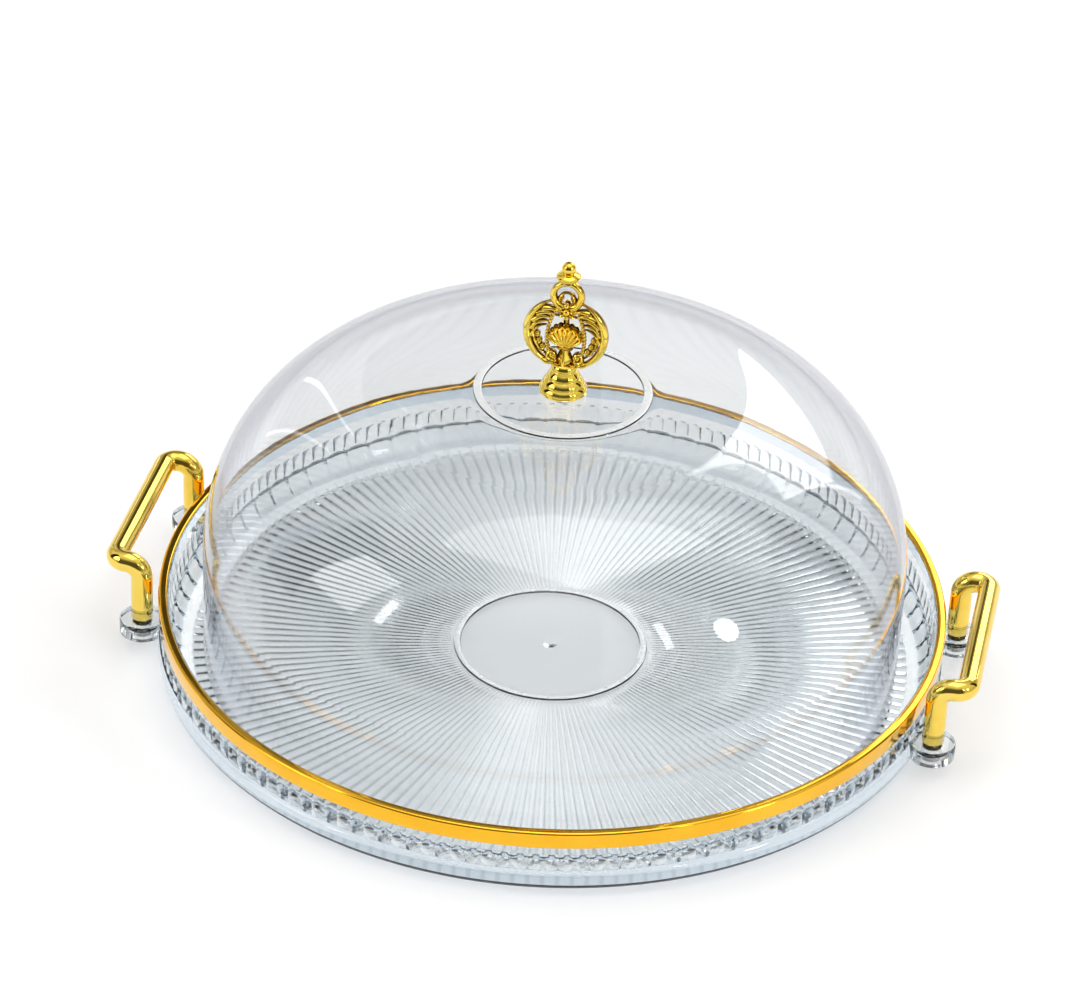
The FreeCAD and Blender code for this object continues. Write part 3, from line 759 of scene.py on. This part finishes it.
def makeFloorMaterial(g):
    # the glow lifts the floor's colour to white for the camera, glass and metal, and lights nothing
    made, tree, shader, output = makeMatt("whiteFloor", g["floorShade"], 0.9)
    path = addNode(tree, "ShaderNodeLightPath")
    seen = addMath(tree, "MAXIMUM", path.outputs["Is Camera Ray"], path.outputs["Is Transmission Ray"])
    seen = addMath(tree, "MAXIMUM", seen, path.outputs["Is Glossy Ray"])
    light = addNode(tree, "ShaderNodeEmission")
    both = addNode(tree, "ShaderNodeAddShader")
    link = tree.links.new
    link(addMath(tree, "MULTIPLY", seen, g["floorGlow"]), light.inputs["Strength"])
    link(shader.outputs["BSDF"], both.inputs[0])
    link(light.outputs["Emission"], both.inputs[1])
    link(both.outputs["Shader"], output.inputs["Surface"])
    return made


def turnTo(thing, place, aim, axis):
    thing.location = place
    thing.rotation_euler = (Vector(aim) - Vector(place)).to_track_quat(axis, "Y").to_euler()


def addStagePlane(name, sizeX, sizeY, place, aim, material):
    bm = bmesh.new()
    bmesh.ops.create_grid(bm, x_segments=1, y_segments=1, size=0.5)
    bmesh.ops.scale(bm, vec=(sizeX, sizeY, 1), verts=bm.verts)
    mesh = bpy.data.meshes.new(name)
    bm.to_mesh(mesh)
    bm.free()
    mesh.materials.append(material)
    plane = bpy.data.objects.new(name, mesh)
    scene.collection.objects.link(plane)
    if aim is not None:
        turnTo(plane, place, aim, "Z")
    plane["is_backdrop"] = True


addStagePlane("studioFloor", 12, 12, (0, 0, 0), None, makeFloorMaterial(stage))
for name, (sizeX, sizeY, place, aim, shade) in stage["cards"].items():
    addStagePlane(name, sizeX, sizeY, place, aim, makeMatt(name, shade)[0])

# Studio walls: pairs of height from 0 to 1 and brightness, and where round the object each wall stands
walls = {
    "behind": ((0, 0.9), (0.10, 0.9), (0.20, 0.5), (0.36, 0.45), (0.46, 0.38), (0.72, 0.38), (0.82, 0.6), (1, 0.85)),
    "aside": ((0, 0.85), (0.12, 0.55), (0.3, 0.5), (0.5, 0.7), (0.8, 0.75), (1, 0.85)),
    "front": ((0, 0.6), (0.06, 0.08), (0.6, 0.08), (0.75, 0.4), (0.85, 0.7), (1, 0.9)),
    "asideAt": ((0, 0), (0.30, 0), (0.38, 1), (0.70, 1), (0.76, 0), (1, 0)),
    "frontAt": ((0, 0), (0.72, 0), (0.78, 1), (1, 1)),
    "strength": 1.12,
}


def makeWorld(g):
    world = bpy.data.worlds.new("studio")
    scene.world = world
    world.use_nodes = True
    tree = world.node_tree
    coords = addNode(tree, "ShaderNodeTexCoord")
    split = addNode(tree, "ShaderNodeSeparateXYZ")
    tree.links.new(coords.outputs["Generated"], split.inputs[0])
    turn = addMath(tree, "ARCTAN2", split.outputs["X"], split.outputs["Y"])
    share = addMath(tree, "DIVIDE", addMath(tree, "ABSOLUTE", turn), math.pi)
    grey = lambda stops: [(place, (shade, shade, shade)) for place, shade in stops]
    behind, aside, front = (addRamp(tree, split.outputs["Z"], grey(g[name])) for name in ("behind", "aside", "front"))
    asideAt, frontAt = (addRamp(tree, share, grey(g[name])) for name in ("asideAt", "frontAt"))
    colour = addMix(tree, frontAt, addMix(tree, asideAt, behind, aside), front)
    tree.links.new(colour, tree.nodes["Background"].inputs["Color"])
    tree.nodes["Background"].inputs["Strength"].default_value = g["strength"]


# Lamps: width, height, place, height that it aims at, watts, colour
lamps = {
    "topSoft": (1.5, 1.5, (0.1, 0.2, 2.2), 0, 10.0, (1, 1, 1)),
    "leftSoft": (0.8, 1.2, (-1.9, -0.9, 1.3), 0.1, 7.5, (1.0, 0.99, 0.97)),
    "keyLeft": (0.10, 0.5, (-1.25, -1.2, 0.95), 0.1, 1.0, (1, 1, 1)),
    "keyRight": (0.08, 0.5, (1.15, -1.0, 1.05), 0.1, 0.8, (1, 1, 1)),
    "panelBackRight": (1.2, 0.7, (0.56, 1.48, 1.06), 0, 7.5, (1, 1, 1)),
    "stripBackLeft": (0.03, 0.9, (-0.95, 1.20, 0.75), 0, 0.17, (1, 1, 1)),
    "stripSideLeft": (0.03, 0.9, (-1.25, 0.95, 0.70), 0, 0.14, (1, 1, 1)),
    "stripBackRight": (0.03, 0.8, (0.98, 1.10, 0.60), 0, 0.2, (1, 1, 1)),
    "windowRight": (0.18, 0.36, (1.34, -0.53, 0.72), 0.1, 2.6, (0.97, 0.99, 1.0)),
}


def addLamp(name, sizeX, sizeY, place, aimZ, power, colour):
    data = bpy.data.lights.new(name, "AREA")
    data.shape = "ELLIPSE" if name == "windowRight" else "RECTANGLE"
    data.size = sizeX
    data.size_y = sizeY
    data.energy = power
    data.color = colour
    lamp = bpy.data.objects.new(name, data)
    scene.collection.objects.link(lamp)
    turnTo(lamp, place, (0, 0, aimZ), "-Z")


makeWorld(walls)
for name, values in lamps.items():
    addLamp(name, *values)

# Camera at the photograph's angle; degrees, metres, and the lens in millimetres
view = {"azimuth": 10.48, "elevation": 33.65, "roll": 2.72, "distance": 1.7329, "lens": 139.9,
        "target": (-0.00728, -0.00135, 0.07985)}


def addCamera(v):
    a, e, t = (math.radians(v[k]) for k in ("azimuth", "elevation", "roll"))
    back = Vector((math.sin(a) * math.cos(e), -math.cos(a) * math.cos(e), math.sin(e)))
    right = Vector((math.cos(a), math.sin(a), 0))
    up = back.cross(right)
    turnedRight = right * math.cos(t) + up * math.sin(t)
    turnedUp = up * math.cos(t) - right * math.sin(t)
    data = bpy.data.cameras.new("photoCamera")
    data.sensor_fit = "HORIZONTAL"
    data.sensor_width = 36
    data.lens = v["lens"]
    camera = bpy.data.objects.new("photoCamera", data)
    scene.collection.objects.link(camera)
    place = Matrix((turnedRight, turnedUp, back)).transposed().to_4x4()
    place.translation = Vector(v["target"]) + back * v["distance"]
    camera.matrix_world = place
    scene.camera = camera


addCamera(view)
scene.view_settings.view_transform = "Standard"
asLists = lambda bounds: [[round(q, 6) for q in corner] for corner in bounds]
{"cad": asLists(cadBounds), "visual": asLists(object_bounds())}
print("stage and camera set")
